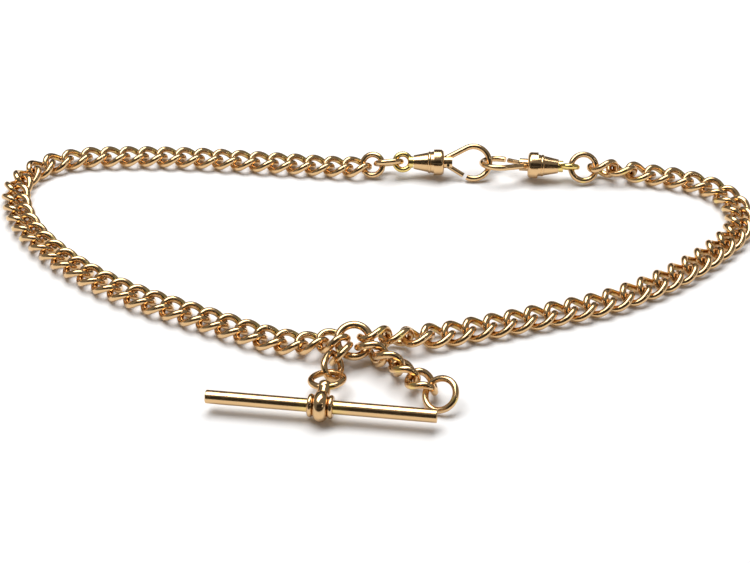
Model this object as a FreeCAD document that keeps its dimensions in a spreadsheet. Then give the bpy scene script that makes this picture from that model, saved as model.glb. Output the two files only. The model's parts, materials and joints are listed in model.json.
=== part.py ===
import FreeCAD, Part
import Sketcher
import math
import os

# Pocket watch chain (double Albert): two arms of curb links from a centre ring, a T-bar and a
# short drop chain on the same ring, and a swivel dog clip at the far end of each arm.
# The two clips are hooked into each other, so the arms lie as one loop on a flat surface.
# +Z is up, +X runs along the loop, and -Y is the side of the T-bar.

Vector = FreeCAD.Vector
Rotation = FreeCAD.Rotation
Placement = FreeCAD.Placement
X_AXIS = Vector(1, 0, 0)
Y_AXIS = Vector(0, 1, 0)
Z_AXIS = Vector(0, 0, 1)

doc = FreeCAD.newDocument("WatchChain")
sheet = doc.addObject("Spreadsheet::Sheet", "Sizes")

SIZES = [
    ("linkPitch", 3.95, "curb link, from one neighbour's wire to the other's"),
    ("linkWire", 1.3, "curb link, wire diameter"),
    ("linkWidth", 5.9, "curb link, width over the wire before twisting"),
    ("linkTwist", 45, "curb link, twist of each end out of the flat, degrees"),
    ("linkPlay", 0.12, "free play where two pieces hook together"),
    ("centreLift", 1.36, "height that the centre ring is held up by what hangs on it"),
    ("centreRingDiameter", 7.2, "centre ring, over the wire"),
    ("centreRingWire", 1.4, "centre ring, wire diameter"),
    ("upperRingDiameter", 5.7, "ring between centre ring and T-bar link, over the wire"),
    ("upperRingWire", 1.2, "the same ring, wire diameter"),
    ("ovalLength", 6.4, "flat oval links of the T-bar and of the left clip, over the wire"),
    ("ovalWidth", 5.2, "flat oval links, over the wire"),
    ("ovalWire", 1.2, "flat oval links, wire diameter"),
    ("barRingDiameter", 6.75, "ring through the T-bar knob, over the wire"),
    ("barRingWire", 1.15, "the same ring, wire diameter"),
    ("dropRingDiameter", 6.75, "end ring of the drop chain, over the wire"),
    ("dropRingWire", 1.15, "end ring of the drop chain, wire diameter"),
    ("leftRingDiameter", 5.5, "ring at the end of the left arm, over the wire"),
    ("leftRingWire", 1.2, "the same ring, wire diameter"),
    ("rightRingDiameter", 6.6, "ring at the end of the right arm, over the wire"),
    ("rightRingWire", 1.2, "the same ring, wire diameter"),
    ("barLength", 39.2, "T-bar rod, end to end"),
    ("barDiameter", 2.35, "T-bar rod"),
    ("barBevel", 0.15, "bevel at the ends of the rod"),
    ("beadDiameter", 5.4, "bead in the middle of the T-bar"),
    ("beadWidth", 2.5, "bead, along the rod"),
    ("bandDiameter", 4.0, "small bands beside the bead"),
    ("bandWidth", 0.95, "small band, along the rod"),
    ("knobDiameter", 2.3, "knob that stands on the bead"),
    ("knobReach", 4.25, "rod axis to the hole in the knob"),
    ("knobHole", 1.8, "hole through the knob"),
    ("eyeDiameter", 4.4, "swivel eye, over the wire"),
    ("eyeWire", 1.15, "swivel eye, wire diameter"),
    ("neckDiameter", 2.4, "solder neck of the swivel eye"),
    ("shankDiameter", 1.1, "shank of the eye, which turns in the barrel"),
    ("swivelPlay", 0.06, "play of the shank in its hole and along the barrel"),
    ("barrelLength", 4.2, "barrel, along the clip"),
    ("barrelNarrow", 2.9, "barrel diameter at the eye"),
    ("barrelMouth", 4.6, "barrel diameter at the collar"),
    ("barrelWall", 0.9, "end wall of the barrel, in which the shank turns"),
    ("rootDiameter", 2.6, "round root of the hook, also the bore of the collar"),
    ("rootReach", 1.7, "root in front of the collar"),
    ("collarDiameter", 5.4, "collar round the root"),
    ("collarWidth", 2.1, "collar, along the clip"),
    ("hookWire", 1.2, "hook, wire diameter"),
    ("hookPlay", 0.35, "play between the bows of the two hooks"),
    ("bowRadius", 3.35, "bow of the hook, to the middle of the wire"),
    ("bowReach", 6.1, "collar to the centre of the bow"),
    ("gateWidth", 1.0, "gate, thickness and width"),
    ("gateOpening", 22, "how far the gate swings inwards, degrees"),
    ("gatePlay", 0.1, "play beside the gate and at its tip"),
    ("pinDiameter", 0.6, "gate pin"),
    ("springThickness", 0.25, "leaf spring behind the gate"),
    ("springLength", 3.2, "leaf spring, along the clip"),
]
for row, (alias, value, note) in enumerate(SIZES, start=1):
    sheet.set("A%d" % row, note)
    sheet.set("B%d" % row, str(value))
    sheet.setAlias("B%d" % row, alias)
doc.recompute()


def size(alias):
    return float(sheet.get(alias))


def polar(degrees, length=1.0):
    angle = math.radians(degrees)
    return Vector(length * math.cos(angle), length * math.sin(angle), 0)


def turned(axis, degrees):
    return Placement(Vector(0, 0, 0), Rotation(axis, degrees))


def moved(x=0.0, y=0.0, z=0.0):
    return Placement(Vector(x, y, z), Rotation())


# ---------------------------------------------------------------- named pieces
pieces = []


def keep(item, label):
    """Gives a finished sub-part the name of its node."""
    item.Label = label
    pieces.append(item)
    return item


def primitive(kind, name, place, **bindings):
    """A Part primitive whose properties are expressions on the sheet's sizes."""
    item = doc.addObject("Part::" + kind, name)
    for prop, expression in bindings.items():
        item.setExpression(prop, expression)
    item.Placement = place
    return item


def fused(name, *shapes):
    item = doc.addObject("Part::MultiFuse", name)
    item.Shapes = list(shapes)
    return item


def cut(name, base, tool):
    item = doc.addObject("Part::Cut", name)
    item.Base = base
    item.Tool = tool
    return item


def torus(name, place, diameter, wire):
    """Round ring in its own XY plane, from the outer diameter and the wire diameter."""
    return primitive(
        "Torus", name, place,
        Radius1="(Sizes.%s - Sizes.%s) / 2" % (diameter, wire),
        Radius2="Sizes.%s / 2" % wire,
    )


def alongX(place, x, z=0.0):
    """Place of a cylinder that starts at x and runs along the local X axis."""
    return place.multiply(moved(x, 0, z)).multiply(turned(Y_AXIS, 90))


# ---------------------------------------------------------------- wire shapes
play = size("linkPlay")


def hookLength(diameter, wire):
    """Distance between the two points where a piece touches its neighbours."""
    return diameter - 2 * wire - play


def wireReach(diameter, wire):
    """From the centre of a ring to the point where a neighbour touches it."""
    return diameter / 2 - wire - play / 2


def curbPoint(turn):
    """Middle of the wire of a curb link: an oval whose ends twist opposite ways out of the flat."""
    along = (size("linkPitch") + size("linkWire") + play) / 2
    across = (size("linkWidth") - size("linkWire")) / 2 * math.sin(turn)
    twist = math.radians(size("linkTwist")) * math.cos(turn)
    return Vector(along * math.cos(turn), across * math.cos(twist), -across * math.sin(twist))


def curbTangent(turn):
    small = 0.0001
    return (curbPoint(turn + small) - curbPoint(turn - small)).normalize()


def wireArc(start, along, end, wire):
    """Piece of wire bent to the arc that leaves start in the direction along and reaches end."""
    chord = end - start
    across = (chord - along * chord.dot(along)).normalize()
    radius = chord.Length ** 2 / (2 * chord.dot(across))
    angle = 2 * math.degrees(math.atan2(chord.dot(across), chord.dot(along)))
    disc = Part.Face(Part.Wire(Part.makeCircle(wire / 2, start, along)))
    return disc.revolve(start + across * radius, along.cross(across), angle)


def wireSpan(start, startAlong, end, endAlong, wire):
    """Two arcs that join start to end and meet each other without a kink."""
    chord = end - start
    both = startAlong + endAlong
    spread = 1 - startAlong.dot(endAlong)
    reach = (math.sqrt(chord.dot(both) ** 2 + 2 * spread * chord.dot(chord)) - chord.dot(both)) / (2 * spread)
    middle = (start + end + (startAlong - endAlong) * reach) * 0.5
    middleAlong = (middle - (start + startAlong * reach)).normalize()
    return [wireArc(start, startAlong, middle, wire), wireArc(middle, middleAlong, end, wire)]


def curbLink():
    """One closed link. Arcs make one quarter, and half turns about X and Z make the others."""
    spans = 2
    turns = [math.pi / 2 * n / spans for n in range(spans + 1)]
    quarter = []
    for here, there in zip(turns, turns[1:]):
        quarter += wireSpan(curbPoint(here), curbTangent(here), curbPoint(there), curbTangent(there),
                            size("linkWire"))
    half = list(quarter)
    for solid in quarter:
        other = solid.copy()
        other.rotate(Vector(0, 0, 0), X_AXIS, 180)
        half.append(other)
    whole = list(half)
    for solid in half:
        other = solid.copy()
        other.rotate(Vector(0, 0, 0), Z_AXIS, 180)
        whole.append(other)
    return whole[0].fuse(whole[1:]).Solids[0]


def ovalLink():
    """Flat oval link: two half rings joined by straight stretches."""
    radius = (size("ovalWidth") - size("ovalWire")) / 2
    straight = size("ovalLength") - size("ovalWidth")
    wire = size("ovalWire") / 2
    solids = []
    for side in (1, -1):
        end = Part.makeTorus(radius, wire, Vector(0, 0, 0), Z_AXIS, -180, 180, 180)
        end.rotate(Vector(0, 0, 0), Z_AXIS, -90 * side)
        end.translate(Vector(side * straight / 2, 0, 0))
        rod = Part.makeCylinder(wire, straight, Vector(-straight / 2, side * radius, 0), X_AXIS)
        solids += [end, rod]
    return solids[0].fuse(solids[1:]).removeSplitter().Solids[0]


def restHeight(roll):
    """Height of a curb link's axis when the rolled link lies on the surface."""
    tilt = Rotation(X_AXIS, roll)
    lowest = min(tilt.multVec(curbPoint(math.radians(step))).z for step in range(0, 360, 3))
    return size("linkWire") / 2 - lowest


# ---------------------------------------------------------------- laying pieces one after another
def step(turn, length, height, roll=0.0):
    """One piece of a row: its turn from the last one, hook length, height of its centre, roll."""
    return {"turn": turn, "length": length, "height": height, "roll": roll}


def lay(start, heading, steps, endHeight):
    """Places of pieces that hook into each other, and the point where the last one ends."""
    places = []
    joint = start
    for index, piece in enumerate(steps):
        following = steps[index + 1]["height"] if index + 1 < len(steps) else endHeight
        rise = (piece["height"] + following) / 2 - joint.z
        heading += piece["turn"]
        climb = math.asin(rise / piece["length"])
        direction = polar(heading, math.cos(climb)) + Z_AXIS * math.sin(climb)
        after = joint + direction * piece["length"]
        turnTo = Rotation(heading, -math.degrees(climb), piece["roll"])
        places.append(Placement((joint + after) / 2, turnTo))
        joint = after
    return places, joint, heading


def runSteps(runs, extraTurn=0.0):
    """Steps of curb links from runs of (number of links, turn, roll and lift of each link)."""
    pitch = size("linkPitch")
    return [
        step(turn + extraTurn, pitch, restHeight(roll) + lift, roll)
        for count, turn, roll, lift in runs
        for _ in range(count)
    ]


def ringHeight(diameter, wire, lean):
    """Centre height of a leaning ring that stands on the surface."""
    return (diameter - wire) / 2 * math.sin(math.radians(abs(lean))) + wire / 2


# The round rings lean away from the T-bar side, in degrees from flat.
CENTRE_LEAN = 37
ARM_RING_LEAN = 54
centreReach = wireReach(size("centreRingDiameter"), size("centreRingWire"))
centreHeight = size("centreLift") + ringHeight(
    size("centreRingDiameter"), size("centreRingWire"), CENTRE_LEAN)
centreRing = Placement(Vector(0, 0, centreHeight), Rotation(0, 0, CENTRE_LEAN))


def onCentreRing(angle, slack):
    """Point inside the centre ring where a neighbour hooks on; slack leaves it short of taut."""
    return centreRing.multVec(polar(angle, centreReach - slack))


# ---------------------------------------------------------------- the dog clips
# Each clip has its own frame: the eye's centre at the origin, +X towards the hook, the bow in the
# XZ plane, the fixed arm on the +Z side and the gate on the -Z side.
eyeReach = wireReach(size("eyeDiameter"), size("eyeWire"))
barrelStart = size("eyeDiameter") / 2 + size("swivelPlay")
collarStart = barrelStart + size("barrelLength")
collarEnd = collarStart + size("collarWidth")
bowCentre = collarEnd + size("bowReach")
bowEnd = bowCentre + size("bowRadius")
pinX = collarEnd + size("rootReach") * 0.5
pinZ = -size("rootDiameter") * 0.28
NOSE_ANGLE = -115.0  # where the bow ends, seen from its centre, degrees
NOSE_GAP = 0.1       # between the end faces of gate and nose


def hookSpine():
    """Start of the fixed arm, the tangent point on the bow, and the nose, in the XZ plane."""
    radius = size("bowRadius")
    start = Vector(collarEnd + 0.1, 0, size("rootDiameter") / 2 - size("hookWire") / 2 - 0.05)
    centre = Vector(bowCentre, 0, 0)
    span = start - centre
    spread = math.acos(radius / span.Length)
    toStart = math.atan2(span.z, span.x)
    touch = toStart - spread
    tangent = centre + Vector(radius * math.cos(touch), 0, radius * math.sin(touch))
    nose = math.radians(NOSE_ANGLE)
    end = centre + Vector(radius * math.cos(nose), 0, radius * math.sin(nose))
    far = centre + Vector(radius, 0, 0)
    return start, tangent, far, end


def gateLine():
    """Direction from the gate pin to the nose, and the distance at which the gate ends."""
    nose = hookSpine()[3]
    pin = Vector(pinX, 0, pinZ)
    line = nose - pin
    return pin, line.normalize(), (nose - pin).Length


def swivelEye(name, place):
    """Eye ring with its solder neck and the shank that turns in the barrel."""
    ring = torus(name + "Ring", place.multiply(turned(X_AXIS, 90)), "eyeDiameter", "eyeWire")
    neck = primitive(
        "Cylinder", name + "Neck", alongX(place, size("eyeDiameter") / 2 - size("eyeWire") * 0.8),
        Radius="Sizes.neckDiameter / 2", Height="Sizes.eyeWire * 0.8",
    )
    shank = primitive(
        "Cylinder", name + "Shank", alongX(place, size("eyeDiameter") / 2 - size("eyeWire") / 2),
        Radius="Sizes.shankDiameter / 2",
        Height="Sizes.eyeWire / 2 + Sizes.barrelWall + 2 * Sizes.swivelPlay + 0.7",
    )
    return keep(fused(name, ring, neck, shank), name)


def rivetHead(name, place):
    """Washer spread over the inner end of the shank, which holds the eye in the barrel."""
    start = barrelStart + size("barrelWall") + size("swivelPlay")
    head = primitive("Cylinder", name + "Head", alongX(place, start),
                     Radius="Sizes.rootDiameter / 2 - 0.15", Height="0.7")
    hole = primitive("Cylinder", name + "Hole", alongX(place, start - 1),
                     Radius="Sizes.shankDiameter / 2", Height="3")
    return keep(cut(name, head, hole), name)


def barrel(name, place):
    """Trumpet-shaped barrel with an end wall for the shank and an open mouth for the root."""
    trumpet = primitive(
        "Cone", name + "Trumpet", alongX(place, barrelStart),
        Radius1="Sizes.barrelNarrow / 2", Radius2="Sizes.barrelMouth / 2",
        Height="Sizes.barrelLength",
    )
    ridge = primitive(
        "Torus", name + "Ridge", alongX(place, collarStart - 0.9),
        Radius1="Sizes.barrelMouth / 2 - 0.45", Radius2="0.42",
    )
    bore = primitive(
        "Cylinder", name + "Bore", alongX(place, barrelStart - 1),
        Radius="Sizes.shankDiameter / 2 + Sizes.swivelPlay", Height="Sizes.barrelLength",
    )
    cavity = primitive(
        "Cylinder", name + "Cavity", alongX(place, barrelStart + size("barrelWall")),
        Radius="Sizes.rootDiameter / 2", Height="Sizes.barrelLength",
    )
    outside = fused(name + "Outside", trumpet, ridge)
    inside = fused(name + "Inside", bore, cavity)
    return keep(cut(name, outside, inside), name)


def collar(name, place):
    """Rounded collar on the root of the hook."""
    band = primitive("Cylinder", name + "Band", alongX(place, collarStart),
                     Radius="Sizes.collarDiameter / 2", Height="Sizes.collarWidth")
    doc.recompute()
    rounded = doc.addObject("Part::Fillet", name + "Rounded")
    rounded.Base = band
    radius = size("collarWidth") * 0.36
    rounded.Edges = [(1, radius, radius), (3, radius, radius)]
    bore = primitive("Cylinder", name + "Bore", alongX(place, collarStart - 1),
                     Radius="Sizes.rootDiameter / 2", Height="Sizes.collarWidth + 2")
    return keep(cut(name, rounded, bore), name)


def hook(name, place):
    """Round root with a slot for the gate, the fixed arm, and the bow round to the nose."""
    start, tangent, far, end = hookSpine()
    spine = Part.Wire([
        Part.LineSegment(start, tangent).toShape(),
        Part.Arc(tangent, far, end).toShape(),
    ])
    circle = Part.Wire(Part.makeCircle(size("hookWire") / 2, start, tangent - start))
    arm = spine.makePipeShell([circle], True, False)
    rootLength = 0.6 + size("collarWidth") + size("rootReach")
    root = Part.makeCylinder(size("rootDiameter") / 2, rootLength,
                             Vector(collarStart - 0.6, 0, 0), X_AXIS)
    body = root.fuse(arm)
    slotWidth = size("gateWidth") + 2 * size("gatePlay")
    slotTop = pinZ + size("gateWidth") / 2 + size("springThickness") + 2 * size("gatePlay")
    slot = Part.makeBox(rootLength + 2, slotWidth, slotTop + size("rootDiameter"),
                        Vector(collarStart - 1.6, -slotWidth / 2, -size("rootDiameter")))
    pinHole = Part.makeCylinder(size("pinDiameter") / 2, 4, Vector(pinX, -2, pinZ), Y_AXIS)
    pin, line, reach = gateLine()
    faced = size("hookWire") * 2
    noseFace = Part.makeBox(faced, faced, faced, Vector(-faced, -faced / 2, -faced / 2))
    noseFace.Placement = Placement(
        pin + line * (reach - size("hookWire") * 0.5),
        Rotation(X_AXIS, line),
    ).multiply(noseFace.Placement)
    item = doc.addObject("Part::Feature", name)
    item.Shape = body.cut(slot).cut(pinHole).cut(noseFace).Solids[0]
    item.Placement = place
    return keep(item, name)


def gate(name, place):
    """Sprung gate: an eye round the pin and a bar whose end meets the nose."""
    pin, line, reach = gateLine()
    half = size("gateWidth") / 2
    length = reach - size("hookWire") * 0.5 - NOSE_GAP - half * 0.08
    axis = Rotation(Z_AXIS, line)
    eye = primitive(
        "Cylinder", name + "Eye",
        place.multiply(moved(pinX, half, pinZ)).multiply(turned(X_AXIS, 90)),
        Radius="Sizes.gateWidth / 2", Height="Sizes.gateWidth",
    )
    bar = primitive("Cylinder", name + "Bar", place.multiply(Placement(pin, axis)),
                    Radius="Sizes.gateWidth / 2")
    bar.Height = length
    hole = primitive(
        "Cylinder", name + "Hole",
        place.multiply(moved(pinX, 2, pinZ)).multiply(turned(X_AXIS, 90)),
        Radius="Sizes.pinDiameter / 2 + 0.03", Height="4",
    )
    return keep(cut(name, fused(name + "Blank", eye, bar), hole), name)


def gatePin(name, place):
    """Pin across the slot of the root."""
    chord = 2 * math.sqrt((size("rootDiameter") / 2) ** 2 - pinZ ** 2)
    item = primitive(
        "Cylinder", name,
        place.multiply(moved(pinX, chord / 2, pinZ)).multiply(turned(X_AXIS, 90)),
        Radius="Sizes.pinDiameter / 2",
    )
    item.Height = chord
    return keep(item, name)


def gateSpring(name, place):
    """Leaf spring under the top of the slot, pressing on the gate's eye."""
    item = primitive(
        "Box", name,
        place.multiply(moved(pinX + 0.3 - size("springLength"), -size("gateWidth") / 2,
                             pinZ + size("gateWidth") / 2 + size("gatePlay"))),
        Length="Sizes.springLength", Width="Sizes.gateWidth", Height="Sizes.springThickness",
    )
    return keep(item, name)


def clip(side, hookPlace, eyePlace):
    """All the pieces of one clip. The eye may be turned in the barrel."""
    swivelEye(side + "_clip_swivel_eye", eyePlace)
    rivetHead(side + "_clip_rivet_head", eyePlace)
    barrel(side + "_clip_barrel", hookPlace)
    collar(side + "_clip_collar", hookPlace)
    hook(side + "_clip_hook", hookPlace)
    gate(side + "_clip_gate", hookPlace)
    gatePin(side + "_clip_gate_pin", hookPlace)
    gateSpring(side + "_clip_gate_spring", hookPlace)


# ---------------------------------------------------------------- the loop of the two arms
# Runs of curb links from the centre ring outwards: how many, then turn, roll and lift of each.
LEFT_HEADING = 169
LEFT_RUNS = [(1, 0, 5.4, 1.7), (1, 1.5, 9.5, 0.43), (3, -5.7, 0, 0), (5, 0, 0, 0), (5, -3, 0, 0),
             (4, -3.4, 0, 0), (4, -5.8, 0, 0), (4, -19, 0, 0), (2, -11, 0, 0), (3, -1.8, 0, 0),
             (4, -1.3, 0, 0), (6, 0, 0, 0), (1, 0, 0, 0.15)]
RIGHT_RUNS = [(1, 0, -66, 0.69), (1, -2.2, -45, 0.38), (1, 0.3, -19, 0.34), (8, 0.3, 0, 0),
              (2, 4, 0, 0), (6, 3, 0, 0), (2, 3, 0, 0), (3, 15, 0, 0), (3, 18.5, 0, 0),
              (3, 7, 0, 0), (1, 6, 25, 0.3), (1, 3, 50, 0.3)]
LEFT_CLIP_ROLL = -36
RIGHT_CLIP_ROLL = -75
RIGHT_EYE_ROLL = -54
CLIP_TURN = -5.5     # heading of the right clip, measured from the bow towards its eye

# the left bow is the lowest part of the two clips
clipHeight = (size("bowRadius") * math.cos(math.radians(LEFT_CLIP_ROLL)) + size("hookWire") / 2)
eyeToBow = bowEnd

leftStart = onCentreRing(167, 0.17)
leftSteps = runSteps(LEFT_RUNS)
leftRingHeight = ringHeight(size("leftRingDiameter"), size("leftRingWire"), ARM_RING_LEAN)
leftSteps.append(step(3, hookLength(size("leftRingDiameter"), size("leftRingWire")),
                      leftRingHeight + 0.15, ARM_RING_LEAN))
leftSteps.append(step(3, hookLength(size("ovalLength"), size("ovalWire")), clipHeight, -36))
leftPlaces, leftEnd, leftHeading = lay(leftStart, LEFT_HEADING, leftSteps, clipHeight)
leftEye = leftEnd + polar(leftHeading, eyeReach)
leftEye.z = clipHeight
leftHook = Placement(leftEye, Rotation(leftHeading, 0, LEFT_CLIP_ROLL))

# the bows hook into each other, each wire inside the other's bow
halfHooked = (size("hookWire") + size("hookPlay")) / 2
interlock = leftEye + polar(leftHeading, eyeToBow - halfHooked)
rightEye = interlock + polar(CLIP_TURN, eyeToBow - halfHooked)
rightHook = Placement(rightEye, Rotation(180 + CLIP_TURN, 0, RIGHT_CLIP_ROLL))
rightEyePlace = Placement(rightEye, Rotation(180 + CLIP_TURN, 0, RIGHT_EYE_ROLL))
rightTarget = rightEye + polar(CLIP_TURN, eyeReach)

rightStart = onCentreRing(16, 0.2)
rightRingHeight = ringHeight(size("rightRingDiameter"), size("rightRingWire"), ARM_RING_LEAN)


def rightArm(heading, extraTurn):
    """Right arm and its ring for a first heading and a small turn added to every link."""
    steps = runSteps(RIGHT_RUNS, extraTurn)
    steps.append(step(3, hookLength(size("rightRingDiameter"), size("rightRingWire")),
                      rightRingHeight + 0.1, -ARM_RING_LEAN))
    return lay(rightStart, heading, steps, 2 * clipHeight - steps[-1]["height"])


def closeLoop():
    """Newton steps on the first heading and the extra turn until the arm meets the right eye."""
    heading, extra = 16.0, 0.0
    small = 0.01
    for _ in range(12):
        miss = rightArm(heading, extra)[1] - rightTarget
        byHeading = (rightArm(heading + small, extra)[1] - rightTarget - miss) / small
        byExtra = (rightArm(heading, extra + small)[1] - rightTarget - miss) / small
        area = byHeading.x * byExtra.y - byHeading.y * byExtra.x
        heading -= (miss.x * byExtra.y - miss.y * byExtra.x) / area
        extra -= (byHeading.x * miss.y - byHeading.y * miss.x) / area
    return heading, extra


rightHeading, rightExtra = closeLoop()
rightPlaces, rightEnd, rightArrival = rightArm(rightHeading, rightExtra)
print("right arm starts at %.1f degrees, adds %.2f to each turn, misses by %.3f mm, arrives at %.1f"
      % (rightHeading, rightExtra, (rightEnd - rightTarget).Length, rightArrival))


def curbGroups(side, places, groups):
    """Nodes of a few links each, every link a solid of its own."""
    done = 0
    for count in groups:
        links = []
        for place in places[done:done + count]:
            link = curb.copy()
            link.Placement = place
            links.append(link)
        item = doc.addObject("Part::Feature", "%sLinks%02d" % (side, done + 1))
        item.Shape = Part.makeCompound(links)
        keep(item, "%s_arm_links_%02d_to_%02d" % (side, done + 1, done + count))
        done += count


curb = curbLink()
oval = ovalLink()
curbGroups("left", leftPlaces[:-2], [3, 3, 3, 4, 3, 3, 3, 3, 3, 3, 3, 3, 3, 3])
curbGroups("right", rightPlaces[:-1], [3, 3, 3, 3, 3, 3, 4, 3, 3, 4])
keep(torus("CentreRing", centreRing, "centreRingDiameter", "centreRingWire"), "centre_ring")
keep(torus("LeftRing", leftPlaces[-2], "leftRingDiameter", "leftRingWire"), "left_end_ring")
keep(torus("RightRing", rightPlaces[-1], "rightRingDiameter", "rightRingWire"), "right_end_ring")


def ovalPiece(label, place):
    item = doc.addObject("Part::Feature", label)
    item.Shape = oval.copy()
    item.Placement = place
    return keep(item, label)


ovalPiece("left_clip_link", leftPlaces[-1])
clip("left", leftHook, leftHook)
clip("right", rightHook, rightEyePlace)


# ---------------------------------------------------------------- the T-bar and its fall
# A ring, an oval link and a second ring run from the centre ring to the knob of the T-bar.
BAR_HEADING = -7.5
FALL_END = 2.36      # height of the joint between the oval link and the bar ring
barHeight = size("beadDiameter") / 2
fallStart = onCentreRing(-134.4, 0.21)
fallSteps = [
    step(0, hookLength(size("upperRingDiameter"), size("upperRingWire")), 1.97, 54.5),
    step(17, hookLength(size("ovalLength"), size("ovalWire")), 3.34, 124),
]
fallPlaces, fallEnd, fallHeading = lay(fallStart, -123.4, fallSteps, 2 * FALL_END - 3.34)
barRingRadius = (size("barRingDiameter") - size("barRingWire")) / 2
ringSpan = wireReach(size("barRingDiameter"), size("barRingWire")) + barRingRadius
KNOB_LIFT = 9.4        # the knob points away from the bar at this angle above the flat, degrees
holeHeight = barHeight + size("knobReach") * math.sin(math.radians(KNOB_LIFT))
ringClimb = math.degrees(math.asin((holeHeight - fallEnd.z) / ringSpan))
ringAlong = polar(BAR_HEADING - 90, math.cos(math.radians(ringClimb)))
ringAlong.z = math.sin(math.radians(ringClimb))
barRingPlace = Placement(
    fallEnd + ringAlong * wireReach(size("barRingDiameter"), size("barRingWire")),
    Rotation(BAR_HEADING - 90, -ringClimb, 6),
)
knobHole = fallEnd + ringAlong * ringSpan

keep(torus("UpperRing", fallPlaces[0], "upperRingDiameter", "upperRingWire"), "t_bar_upper_ring")
ovalPiece("t_bar_link", fallPlaces[1])
keep(torus("BarRing", barRingPlace, "barRingDiameter", "barRingWire"), "t_bar_ring")

# the bar's own frame: +X along the rod, +Z from the rod to the knob
barPlace = Placement(
    knobHole - Rotation(BAR_HEADING, 0, KNOB_LIFT - 90).multVec(Vector(0, 0, size("knobReach"))),
    Rotation(BAR_HEADING, 0, KNOB_LIFT - 90),
)


def barRod():
    """Straight round rod with bevelled ends, padded both ways from the middle of the bar."""
    body = doc.addObject("PartDesign::Body", "Rod")
    plane = [f for f in body.Origin.OriginFeatures if f.Role == "YZ_Plane"][0]
    sketch = body.newObject("Sketcher::SketchObject", "RodSection")
    sketch.AttachmentSupport = [(plane, "")]
    sketch.MapMode = "FlatFace"
    sketch.addGeometry(Part.Circle(Vector(0, 0, 0), Z_AXIS, size("barDiameter") / 2), False)
    sketch.addConstraint(Sketcher.Constraint("Coincident", 0, 3, -1, 1))
    sketch.addConstraint(Sketcher.Constraint("Diameter", 0, size("barDiameter")))
    sketch.setExpression("Constraints[1]", "Sizes.barDiameter")
    pad = body.newObject("PartDesign::Pad", "RodPad")
    pad.Profile = sketch
    pad.Midplane = True
    pad.setExpression("Length", "Sizes.barLength")
    doc.recompute()
    bevel = body.newObject("PartDesign::Chamfer", "RodBevel")
    rims = ["Edge%d" % (n + 1) for n, e in enumerate(pad.Shape.Edges) if e.Closed]
    bevel.Base = (pad, rims)
    bevel.setExpression("Size", "Sizes.barBevel")
    body.Placement = barPlace
    return keep(body, "t_bar_rod")


def barBead():
    """Bead with a small band at each side, one turned sleeve soldered on the rod."""
    upright = barPlace.multiply(turned(Y_AXIS, 90))
    bead = torus("Bead", upright, "beadDiameter", "beadWidth")
    core = primitive(
        "Cylinder", "BeadCore", alongX(barPlace, -size("beadWidth") / 2 - size("bandWidth")),
        Radius="Sizes.bandDiameter / 2 - Sizes.bandWidth / 2",
        Height="Sizes.beadWidth + 2 * Sizes.bandWidth",
    )
    bands = []
    for side in (-1, 1):
        away = side * (size("beadWidth") + size("bandWidth")) / 2
        bands.append(torus("Band%d" % (side + 2), barPlace.multiply(moved(away))
                           .multiply(turned(Y_AXIS, 90)), "bandDiameter", "bandWidth"))
    bore = primitive("Cylinder", "BeadBore", alongX(barPlace, -size("beadWidth") * 2),
                     Radius="Sizes.barDiameter / 2", Height="Sizes.beadWidth * 4")
    return keep(cut("t_bar_bead", fused("BeadBlank", bead, core, *bands), bore), "t_bar_bead")


def barKnob():
    """Post with a round head, soldered on the bead; the hole runs along the rod."""
    post = primitive("Cylinder", "KnobPost", barPlace.multiply(moved(0, 0, size("beadDiameter") * 0.4)),
                     Radius="Sizes.knobDiameter / 2",
                     Height="Sizes.knobReach - Sizes.beadDiameter * 0.4")
    head = primitive("Sphere", "KnobHead", barPlace.multiply(moved(0, 0, size("knobReach"))),
                     Radius="Sizes.knobDiameter / 2 + 0.12")
    seat = torus("KnobSeat", barPlace.multiply(turned(Y_AXIS, 90)), "beadDiameter", "beadWidth")
    hole = primitive("Cylinder", "KnobHoleTool", alongX(barPlace, -3, size("knobReach")),
                     Radius="Sizes.knobHole / 2", Height="6")
    return keep(cut("t_bar_knob", fused("KnobBlank", post, head), fused("KnobTools", seat, hole)),
                "t_bar_knob")


barRod()
barBead()
barKnob()

# ---------------------------------------------------------------- the drop chain
DROP_HEADING = -33.2
# turn, height of the centre and roll of each link
DROP_LINKS = [(0, 2.76, -69), (-9.7, 2.96, -61.5), (-4, 2.74, -41.4), (1.6, 2.59, -16.9)]
DROP_RING_LEAN = 40
dropStart = onCentreRing(-39.7, 0.17)
dropSteps = [step(turn, size("linkPitch"), height, roll) for turn, height, roll in DROP_LINKS]
dropRingHeight = ringHeight(size("dropRingDiameter"), size("dropRingWire"), DROP_RING_LEAN)
dropSteps.append(step(2.8, hookLength(size("dropRingDiameter"), size("dropRingWire")),
                      dropRingHeight, DROP_RING_LEAN))
dropPlaces, dropEnd, dropHeading = lay(dropStart, DROP_HEADING, dropSteps, dropRingHeight)
for number, place in enumerate(dropPlaces[:-1], start=1):
    item = doc.addObject("Part::Feature", "DropLink%d" % number)
    item.Shape = curb.copy()
    item.Placement = place
    keep(item, "drop_chain_link_%d" % number)
keep(torus("DropRing", dropPlaces[-1], "dropRingDiameter", "dropRingWire"), "drop_chain_end_ring")

# ---------------------------------------------------------------- place, check and write
doc.recompute()
boxes = [piece.Shape.optimalBoundingBox() for piece in pieces]
centreX = (min(box.XMin for box in boxes) + max(box.XMax for box in boxes)) / 2
centreY = (min(box.YMin for box in boxes) + max(box.YMax for box in boxes)) / 2
bottom = min(box.ZMin for box in boxes)
toOrigin = moved(-centreX, -centreY, -bottom)
for piece in pieces:
    piece.Placement = toOrigin.multiply(piece.Placement)
doc.recompute()

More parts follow.
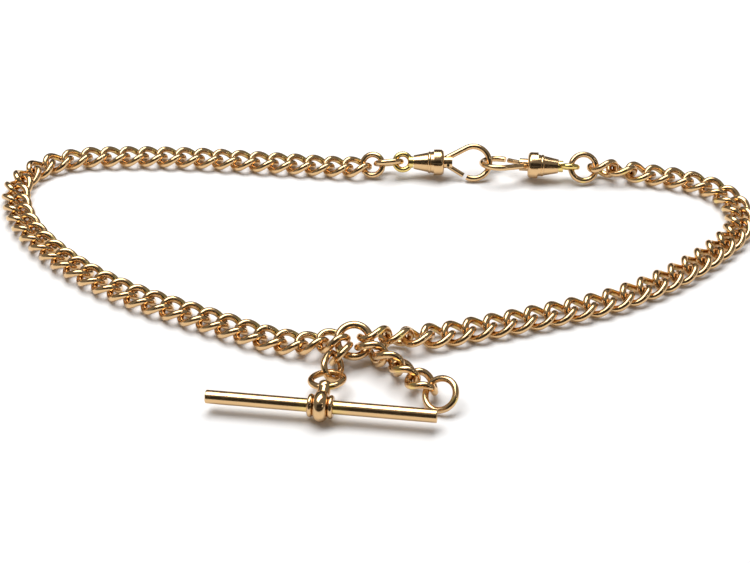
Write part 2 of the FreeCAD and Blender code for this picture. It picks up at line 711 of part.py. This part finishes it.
os.makedirs("parts", exist_ok=True)
for piece in pieces:
    if "Invalid" in piece.State or "Error" in piece.State:
        raise RuntimeError("%s is %s" % (piece.Label, piece.State))
    if piece.Shape.isNull() or not piece.Shape.isValid():
        raise RuntimeError("%s has no valid shape" % piece.Label)
for piece in pieces:
    piece.Shape.exportStep("parts/%s.step" % piece.Label)
print("%d pieces, origin moved by %.3f %.3f %.3f" % (len(pieces), -centreX, -centreY, -bottom))
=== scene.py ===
import json
import math
import bpy
import numpy as np
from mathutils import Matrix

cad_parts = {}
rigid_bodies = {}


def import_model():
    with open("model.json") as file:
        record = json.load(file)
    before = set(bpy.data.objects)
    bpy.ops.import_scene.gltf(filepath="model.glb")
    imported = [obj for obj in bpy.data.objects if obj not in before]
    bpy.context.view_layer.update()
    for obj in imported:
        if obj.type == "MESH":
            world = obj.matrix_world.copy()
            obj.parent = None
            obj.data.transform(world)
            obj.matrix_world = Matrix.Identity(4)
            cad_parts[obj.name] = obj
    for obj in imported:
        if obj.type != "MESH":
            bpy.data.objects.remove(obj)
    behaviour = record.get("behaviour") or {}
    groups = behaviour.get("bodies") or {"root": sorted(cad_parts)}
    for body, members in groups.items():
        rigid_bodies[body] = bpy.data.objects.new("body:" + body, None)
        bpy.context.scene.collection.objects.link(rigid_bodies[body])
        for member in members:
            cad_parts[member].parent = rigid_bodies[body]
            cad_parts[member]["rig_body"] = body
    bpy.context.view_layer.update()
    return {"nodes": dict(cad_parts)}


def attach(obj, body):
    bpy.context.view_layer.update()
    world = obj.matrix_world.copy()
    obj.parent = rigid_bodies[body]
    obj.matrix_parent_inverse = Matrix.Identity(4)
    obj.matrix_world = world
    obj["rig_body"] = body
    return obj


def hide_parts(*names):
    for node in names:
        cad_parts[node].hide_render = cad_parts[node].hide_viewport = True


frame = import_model()

# lengths are millimetres in the pieces' dictionaries and in the camera's eye, metres elsewhere
mm = 0.001
weldStep = 1e-6     # metres, corners this near to each other are one corner


# reading the frame

# Vertices and triangles of each closed solid inside one CAD node.
def solidsOf(node):
    mesh = frame["nodes"][node].data
    mesh.calc_loop_triangles()
    points = np.zeros(len(mesh.vertices) * 3)
    mesh.vertices.foreach_get("co", points)
    points = points.reshape(-1, 3)
    corners = np.zeros(len(mesh.loop_triangles) * 3, int)
    mesh.loop_triangles.foreach_get("vertices", corners)
    # corners at the same spot count as one, so faces that only touch stay together
    spots, same = np.unique(np.round(points / weldStep).astype(int), axis=0, return_inverse=True)
    tris = same.reshape(-1)[corners].reshape(-1, 3)
    label = np.arange(len(spots))
    while True:
        low = label[tris].min(axis=1)
        new = label.copy()
        for k in range(3):
            np.minimum.at(new, tris[:, k], low)
        new = new[new]
        if (new == label).all():
            break
        label = new
    spots = spots * weldStep
    return [(spots, tris[label[tris[:, 0]] == one]) for one in np.unique(label[tris[:, 0]])]


# Middle and three axes of a solid, longest first, from the spread of its surface.
def placeOf(solid):
    spots, tris = solid
    a, b, c = spots[tris[:, 0]], spots[tris[:, 1]], spots[tris[:, 2]]
    area = np.linalg.norm(np.cross(b - a, c - a), axis=1)
    area = area / area.sum()
    mid = (a + b + c) / 3
    centre = (mid * area[:, None]).sum(axis=0)
    spread = (mid - centre).T @ ((mid - centre) * area[:, None])
    axes = np.linalg.eigh(spread)[1][:, ::-1].T.copy()
    axes[2] = np.cross(axes[0], axes[1])
    return centre, axes


# making surfaces

# Quads of a grid whose columns close on themselves, and its rows too if asked.
def gridFaces(rows, cols, closeRows):
    i = np.arange(rows if closeRows else rows - 1)[:, None]
    j = np.arange(cols)[None, :]
    a = i * cols + j
    b = i * cols + (j + 1) % cols
    c = ((i + 1) % rows) * cols + (j + 1) % cols
    d = ((i + 1) % rows) * cols + j
    return np.stack([a, b, c, d], axis=-1).reshape(-1, 4)


# One mesh from (points, faces) parts, smooth, riding a body in place of CAD nodes.
def surface(name, parts, material, body, replaced, seams=None):
    points, faces, start = [], [], 0
    for p, f in parts:
        points.append(p.reshape(-1, 3))
        faces.append(f + start)
        start += p.size // 3
    points = np.concatenate(points)
    faces = np.concatenate(faces)
    mesh = bpy.data.meshes.new(name)
    mesh.from_pydata(points, [], faces)
    mesh.polygons.foreach_set("use_smooth", np.ones(len(faces), bool))
    seam = mesh.attributes.new("seam", "FLOAT", "POINT")
    values = np.zeros(len(points))
    if seams is not None:
        values = np.concatenate([s.reshape(-1) for s in seams])
    seam.data.foreach_set("value", values)
    mesh.materials.append(material)
    mesh.update()
    piece = bpy.data.objects.new(name, mesh)
    bpy.context.scene.collection.objects.link(piece)
    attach(piece, body)
    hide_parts(*replaced)


# Tube round a closed path: S(u, v) = C(u) + r(v) (N cos v + B sin v),
# with N the part of C(u) that is square to the path and B = T x N.
def tubeLoop(path, radius, sides, place):
    t = np.roll(path, -1, axis=0) - np.roll(path, 1, axis=0)
    t /= np.linalg.norm(t, axis=1)[:, None]
    n = path - (path * t).sum(axis=1)[:, None] * t
    n /= np.linalg.norm(n, axis=1)[:, None]
    b = np.cross(t, n)
    v = np.linspace(0, 2 * np.pi, sides, endpoint=False)
    grid = (path[:, None] + radius * (n[:, None] * np.cos(v)[None, :, None]
                                      + b[:, None] * np.sin(v)[None, :, None]))
    centre, axes = place
    return grid * mm @ axes + centre, gridFaces(len(path), sides, True)


# Profile (x, r) turned about the first axis: S(u, v) = (x(u), r(u) cos v, r(u) sin v).
def turnedPiece(profile, sides, place):
    x, r = np.array(profile, float).T
    v = np.linspace(0, 2 * np.pi, sides, endpoint=False)
    grid = np.stack([np.repeat(x[:, None], sides, axis=1),
                     r[:, None] * np.cos(v), r[:, None] * np.sin(v)], axis=-1)
    centre, axes = place
    return grid * mm @ axes + centre, gridFaces(len(x), sides, False)[:, ::-1]


# Part of a circle in a profile, from one angle to another in degrees.
def arcProfile(cx, cr, radius, start, end, steps):
    a = np.radians(np.linspace(start, end, steps))
    return [(cx + radius * math.cos(k), cr + radius * math.sin(k)) for k in a]


# gold

goldLook = {
    "rose": (0.70, 0.46, 0.23),
    "yellow": (0.80, 0.60, 0.20),
    "roughness": 0.13,
    "dull": 0.12,
    "dent": 0.018,
}
wearLook = {
    "driftScale": 260, "driftDetail": 2, "darkest": 0.93, "lightest": 1.04,
    "rubScale": 900, "rubDetail": 4, "rubStart": 0.42, "rubFull": 0.75,
    "dentScale": 520, "dentDetail": 1,
    "lineScale": 9000, "lineDetail": 2, "lineDepth": 0.03,
}
steelLook = {"color": (0.5, 0.49, 0.47), "roughness": 0.35}


# Empty node group with its sockets, and its input and output nodes.
def newGroup(name, ins, outs):
    group = bpy.data.node_groups.new(name, "ShaderNodeTree")
    for title, kind in ins:
        group.interface.new_socket(title, in_out="INPUT", socket_type=kind)
    for title, kind in outs:
        group.interface.new_socket(title, in_out="OUTPUT", socket_type=kind)
    return group, group.nodes.new("NodeGroupInput"), group.nodes.new("NodeGroupOutput")


# Noise in the object's own space.
def noiseNode(group, coords, scale, detail):
    noise = group.nodes.new("ShaderNodeTexNoise")
    noise.inputs["Scale"].default_value = scale
    noise.inputs["Detail"].default_value = detail
    group.links.new(coords.outputs["Object"], noise.inputs["Vector"])
    return noise


# Colour drift, rubbed patches and a slightly uneven polish, shared by the golds.
def buildWear():
    group, source, result = newGroup(
        "goldWear",
        [("Base", "NodeSocketColor"), ("Solder", "NodeSocketColor")],
        [("Color", "NodeSocketColor"), ("Roughness", "NodeSocketFloat"),
         ("Height", "NodeSocketFloat")])
    add, link = group.nodes.new, group.links.new
    coords = add("ShaderNodeTexCoord")
    drift = noiseNode(group, coords, wearLook["driftScale"], wearLook["driftDetail"])
    tone = add("ShaderNodeMapRange")
    tone.inputs["To Min"].default_value = wearLook["darkest"]
    tone.inputs["To Max"].default_value = wearLook["lightest"]
    link(drift.outputs["Fac"], tone.inputs["Value"])
    seam = add("ShaderNodeAttribute")
    seam.attribute_name = "seam"
    yellow = add("ShaderNodeMix")
    yellow.data_type = "RGBA"
    link(seam.outputs["Fac"], yellow.inputs["Factor"])
    link(source.outputs["Base"], yellow.inputs["A"])
    link(source.outputs["Solder"], yellow.inputs["B"])
    shade = add("ShaderNodeVectorMath")
    shade.operation = "SCALE"
    link(yellow.outputs["Result"], shade.inputs[0])
    link(tone.outputs["Result"], shade.inputs["Scale"])
    link(shade.outputs["Vector"], result.inputs["Color"])

    rub = noiseNode(group, coords, wearLook["rubScale"], wearLook["rubDetail"])
    dull = add("ShaderNodeMapRange")
    dull.inputs["From Min"].default_value = wearLook["rubStart"]
    dull.inputs["From Max"].default_value = wearLook["rubFull"]
    dull.inputs["To Min"].default_value = goldLook["roughness"]
    dull.inputs["To Max"].default_value = goldLook["roughness"] + goldLook["dull"]
    link(rub.outputs["Fac"], dull.inputs["Value"])
    link(dull.outputs["Result"], result.inputs["Roughness"])

    dents = noiseNode(group, coords, wearLook["dentScale"], wearLook["dentDetail"])
    lines = noiseNode(group, coords, wearLook["lineScale"], wearLook["lineDetail"])
    fine = add("ShaderNodeMath")
    fine.operation = "MULTIPLY_ADD"
    fine.inputs[1].default_value = wearLook["lineDepth"]
    link(lines.outputs["Fac"], fine.inputs[0])
    link(dents.outputs["Fac"], fine.inputs[2])
    link(fine.outputs["Value"], result.inputs["Height"])
    return group


wear = buildWear()


# Polished gold of one colour, worn by the shared group.
def goldMaterial(name, base):
    material = bpy.data.materials.new(name)
    material.use_nodes = True
    nodes, links = material.node_tree.nodes, material.node_tree.links
    shader = nodes["Principled BSDF"]
    shader.inputs["Metallic"].default_value = 1.0
    worn = nodes.new("ShaderNodeGroup")
    worn.node_tree = wear
    worn.inputs["Base"].default_value = (*base, 1)
    worn.inputs["Solder"].default_value = (*goldLook["yellow"], 1)
    bump = nodes.new("ShaderNodeBump")
    bump.inputs["Strength"].default_value = 1.0
    bump.inputs["Distance"].default_value = goldLook["dent"] * mm
    links.new(worn.outputs["Color"], shader.inputs["Base Color"])
    links.new(worn.outputs["Roughness"], shader.inputs["Roughness"])
    links.new(worn.outputs["Height"], bump.inputs["Height"])
    links.new(bump.outputs["Normal"], shader.inputs["Normal"])
    return material


roseGold = goldMaterial("roseGold", goldLook["rose"])
yellowGold = goldMaterial("yellowGold", goldLook["yellow"])

steel = bpy.data.materials.new("springSteel")
steel.use_nodes = True
steelShader = steel.node_tree.nodes["Principled BSDF"]
steelShader.inputs["Base Color"].default_value = (*steelLook["color"], 1)
steelShader.inputs["Metallic"].default_value = 1.0
steelShader.inputs["Roughness"].default_value = steelLook["roughness"]
print("materials ready")


# curb links

curbLook = {"pitch": 3.95, "wire": 1.3, "width": 5.9, "twist": 45, "play": 0.12,
            "around": 88, "sides": 22, "seamAngle": 90, "seamHalf": 0.16, "seamTint": 0.7}


# Middle of the wire: C(t) = (a cos t, b sin t cos q, -b sin t sin q), with q = twist cos t.
def curbPath():
    t = np.linspace(0, 2 * np.pi, curbLook["around"], endpoint=False)
    a = (curbLook["pitch"] + curbLook["wire"] + curbLook["play"]) / 2
    b = (curbLook["width"] - curbLook["wire"]) / 2
    q = math.radians(curbLook["twist"]) * np.cos(t)
    path = np.stack([a * np.cos(t), b * np.sin(t) * np.cos(q), -b * np.sin(t) * np.sin(q)], axis=1)
    return t, path


# Stripe of solder across the wire at one angle of the loop, the same all round the wire:
# full as far as half of seamHalf, then fading evenly to nothing at one and a half of it.
def seamStripe(t, look):
    away = np.abs((t - math.radians(look["seamAngle"]) + np.pi) % (2 * np.pi) - np.pi)
    stripe = np.clip(1.5 - away / look["seamHalf"], 0, 1) * look["seamTint"]
    return np.repeat(stripe[:, None], look["sides"], axis=1)


# Wire of every curb link in a node, laid where the CAD links are.
def linkGroup(node):
    t, path = curbPath()
    parts, seams = [], []
    for solid in solidsOf(node):
        part = tubeLoop(path, curbLook["wire"] / 2, curbLook["sides"], placeOf(solid))
        parts.append(part)
        seams.append(seamStripe(t, curbLook))
    body = frame["nodes"][node]["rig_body"]
    surface(node + "_wire", parts, roseGold, body, [node], seams)


linkNodes = [n for n in frame["nodes"] if "_arm_links_" in n or n.startswith("drop_chain_link")]
for node in linkNodes:
    linkGroup(node)
print("curb links:", len(linkNodes), "groups")


# rings and oval links

# over the wire, and the wire itself
ringSizes = {
    "centre_ring": (7.2, 1.4),
    "t_bar_upper_ring": (5.7, 1.2),
    "t_bar_ring": (6.75, 1.15),
    "drop_chain_end_ring": (6.75, 1.15),
    "left_end_ring": (5.5, 1.2),
    "right_end_ring": (6.6, 1.2),
}
ringLook = {"around": 112, "sides": 26, "seamAngle": 22.918, "seamHalf": 0.14,
            "seamTint": 0.8}
ovalLook = {"length": 6.4, "width": 5.2, "wire": 1.2, "around": 96, "sides": 22}


# Round wire ring: C(t) = (R cos t, R sin t, 0).
def ringPiece(node, diameter, wire):
    t = np.linspace(0, 2 * np.pi, ringLook["around"], endpoint=False)
    reach = (diameter - wire) / 2
    path = np.stack([reach * np.cos(t), reach * np.sin(t), 0 * t], axis=1)
    part = tubeLoop(path, wire / 2, ringLook["sides"], placeOf(solidsOf(node)[0]))
    surface(node + "_wire", [part], roseGold, frame["nodes"][node]["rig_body"],
            [node], [seamStripe(t, ringLook)])


# Oval wire link: two half circles joined by straights, walked at even steps of length s.
def ovalPiece(node):
    r = (ovalLook["width"] - ovalLook["wire"]) / 2
    h = (ovalLook["length"] - ovalLook["width"]) / 2
    total = 2 * math.pi * r + 4 * h
    s = np.linspace(0, total, ovalLook["around"], endpoint=False)
    bend = math.pi * r
    a = np.clip(s, 0, bend) / r + np.clip(s - bend - 2 * h, 0, bend) / r - math.pi / 2
    side = h - np.clip(s - bend, 0, 2 * h) + np.clip(s - 2 * bend - 2 * h, 0, 2 * h)
    path = np.stack([side + r * np.cos(a), r * np.sin(a), 0 * s], axis=1)
    part = tubeLoop(path, ovalLook["wire"] / 2, ovalLook["sides"], placeOf(solidsOf(node)[0]))
    surface(node + "_wire", [part], roseGold, frame["nodes"][node]["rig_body"], [node])


for node, (diameter, wire) in ringSizes.items():
    ringPiece(node, diameter, wire)
for node in ("t_bar_link", "left_clip_link"):
    ovalPiece(node)
print("rings and oval links ready")


# T-bar

# flash is the spread of yellow solder from the bead along the rod
barLook = {"length": 39.2, "diameter": 2.35, "edge": 0.18, "edgeSteps": 6, "pole": 0.001,
           "faceShare": 0.6, "along": 60, "sides": 64,
           "flash": 4.2, "flashStart": 1.25, "flashTint": 0.75}


# Plain round rod with rounded edges, whose two end faces run in to the pole.
def barPiece():
    half, r, e = barLook["length"] / 2, barLook["diameter"] / 2, barLook["edge"]
    left = [(-half, barLook["pole"]), (-half, r * barLook["faceShare"])]
    left += arcProfile(-half + e, r - e, e, 180, 90, barLook["edgeSteps"])
    stretch = [(x, r) for x in np.linspace(-half + e * 2, half - e * 2, barLook["along"])]
    right = [(-x, k) for x, k in left[::-1]]
    profile = left + stretch + right
    part = turnedPiece(profile, barLook["sides"], placeOf(solidsOf("t_bar_rod")[0]))
    away = np.abs(np.array(profile)[:, 0])
    flash = np.clip(barLook["flashStart"] - away / barLook["flash"], 0, barLook["flashTint"])
    surface("t_bar_rod_turned", [part], roseGold, "t_bar", ["t_bar_rod"],
            [np.repeat(flash[:, None], barLook["sides"], axis=1)])


barPiece()
print("T-bar rod ready")


# pieces shown as they are in the CAD part

for name, node in frame["nodes"].items():
    node.data.materials.clear()
    finish = roseGold
    if name.endswith("swivel_eye"):
        finish = yellowGold
    if name.endswith("gate_spring"):
        finish = steel
    node.data.materials.append(finish)
    node.data.polygons.foreach_set("material_index", np.zeros(len(node.data.polygons), int))
print("CAD pieces dressed")


# stage, camera and light

cameraLook = {"lens": 73.9, "sensor": 36, "near": 0.01, "down": 35.6, "eye": (0.3, -238.0, 169.4)}
floorLook = {"size": 4.0, "height": -0.0002, "color": (0.92, 0.92, 0.92), "roughness": 0.9}
worldLook = {"color": (1, 1, 1), "strength": 0.22}
# place, point aimed at, two sides and power
lampLook = {
    "keyBox": ((-0.1, 0.15, 0.75), (0, 0.02, 0), (0.9, 0.5), 8.0),
    "frontBox": ((0.5, -0.6, 0.5), (0, 0, 0), (0.3, 0.3), 2.4),
}
# width, place and tilt in degrees
cardLook = {
    "frontCard": (0.9, (0, -0.42, 0.02), 62),
    "backCard": (1.1, (0, 0.55, 0.1), -70),
    "cameraCard": (1.3, (0, -0.56, 0.42), 54),
}
cardShare = 0.28    # depth of a card as a share of its width
cardColor = (0.02, 0.015, 0.01)


# Flat square sheet in the XY plane.
def stageSheet(name, size, centre, material):
    grid = np.array([(-1, -1, 0), (1, -1, 0), (1, 1, 0), (-1, 1, 0)]) * size / 2 + np.array(centre)
    mesh = bpy.data.meshes.new(name)
    mesh.from_pydata(grid, [], [(0, 1, 2, 3)])
    mesh.materials.append(material)
    sheet = bpy.data.objects.new(name, mesh)
    bpy.context.scene.collection.objects.link(sheet)
    return sheet


paper = bpy.data.materials.new("paper")
paper.use_nodes = True
paperShader = paper.node_tree.nodes["Principled BSDF"]
paperShader.inputs["Base Color"].default_value = (*floorLook["color"], 1)
paperShader.inputs["Roughness"].default_value = floorLook["roughness"]
stageSheet("floor", floorLook["size"], (0, 0, floorLook["height"]), paper)


# Rectangular lamp turned towards the point that it lights.
def softbox(name, place, aim, size, power):
    data = bpy.data.lights.new(name, "AREA")
    data.shape = "RECTANGLE"
    data.size, data.size_y = size
    data.energy = power
    lamp = bpy.data.objects.new(name, data)
    lamp.location = place
    direction = np.array(aim) - np.array(place)
    lamp.rotation_euler = (math.atan2(math.hypot(direction[0], direction[1]), -direction[2]), 0,
                           math.atan2(direction[0], -direction[1]) + math.pi)
    bpy.context.scene.collection.objects.link(lamp)


for name, (place, aim, size, power) in lampLook.items():
    softbox(name, place, aim, size, power)

# dark cards out of the picture give the polished wire its dark bands
card = bpy.data.materials.new("card")
card.use_nodes = True
card.node_tree.nodes["Principled BSDF"].inputs["Base Color"].default_value = (*cardColor, 1)
for name, (width, place, tilt) in cardLook.items():
    cardSheet = stageSheet(name, width, (0, 0, 0), card)
    cardSheet.scale = (1, cardShare, 1)
    cardSheet.location = place
    cardSheet.rotation_euler = (math.radians(tilt), 0, 0)

world = bpy.data.worlds.new("studio")
world.use_nodes = True
sky = world.node_tree.nodes["Background"]
sky.inputs["Color"].default_value = (*worldLook["color"], 1)
sky.inputs["Strength"].default_value = worldLook["strength"]
bpy.context.scene.world = world

cameraData = bpy.data.cameras.new("camera")
cameraData.lens = cameraLook["lens"]
cameraData.sensor_width = cameraLook["sensor"]
cameraData.clip_start = cameraLook["near"]
camera = bpy.data.objects.new("camera", cameraData)
camera.location = np.array(cameraLook["eye"]) * mm
camera.rotation_euler = (math.radians(90 - cameraLook["down"]), 0, 0)
bpy.context.scene.collection.objects.link(camera)
bpy.context.scene.camera = camera
bpy.context.scene.view_settings.view_transform = "Standard"
print("stage ready")
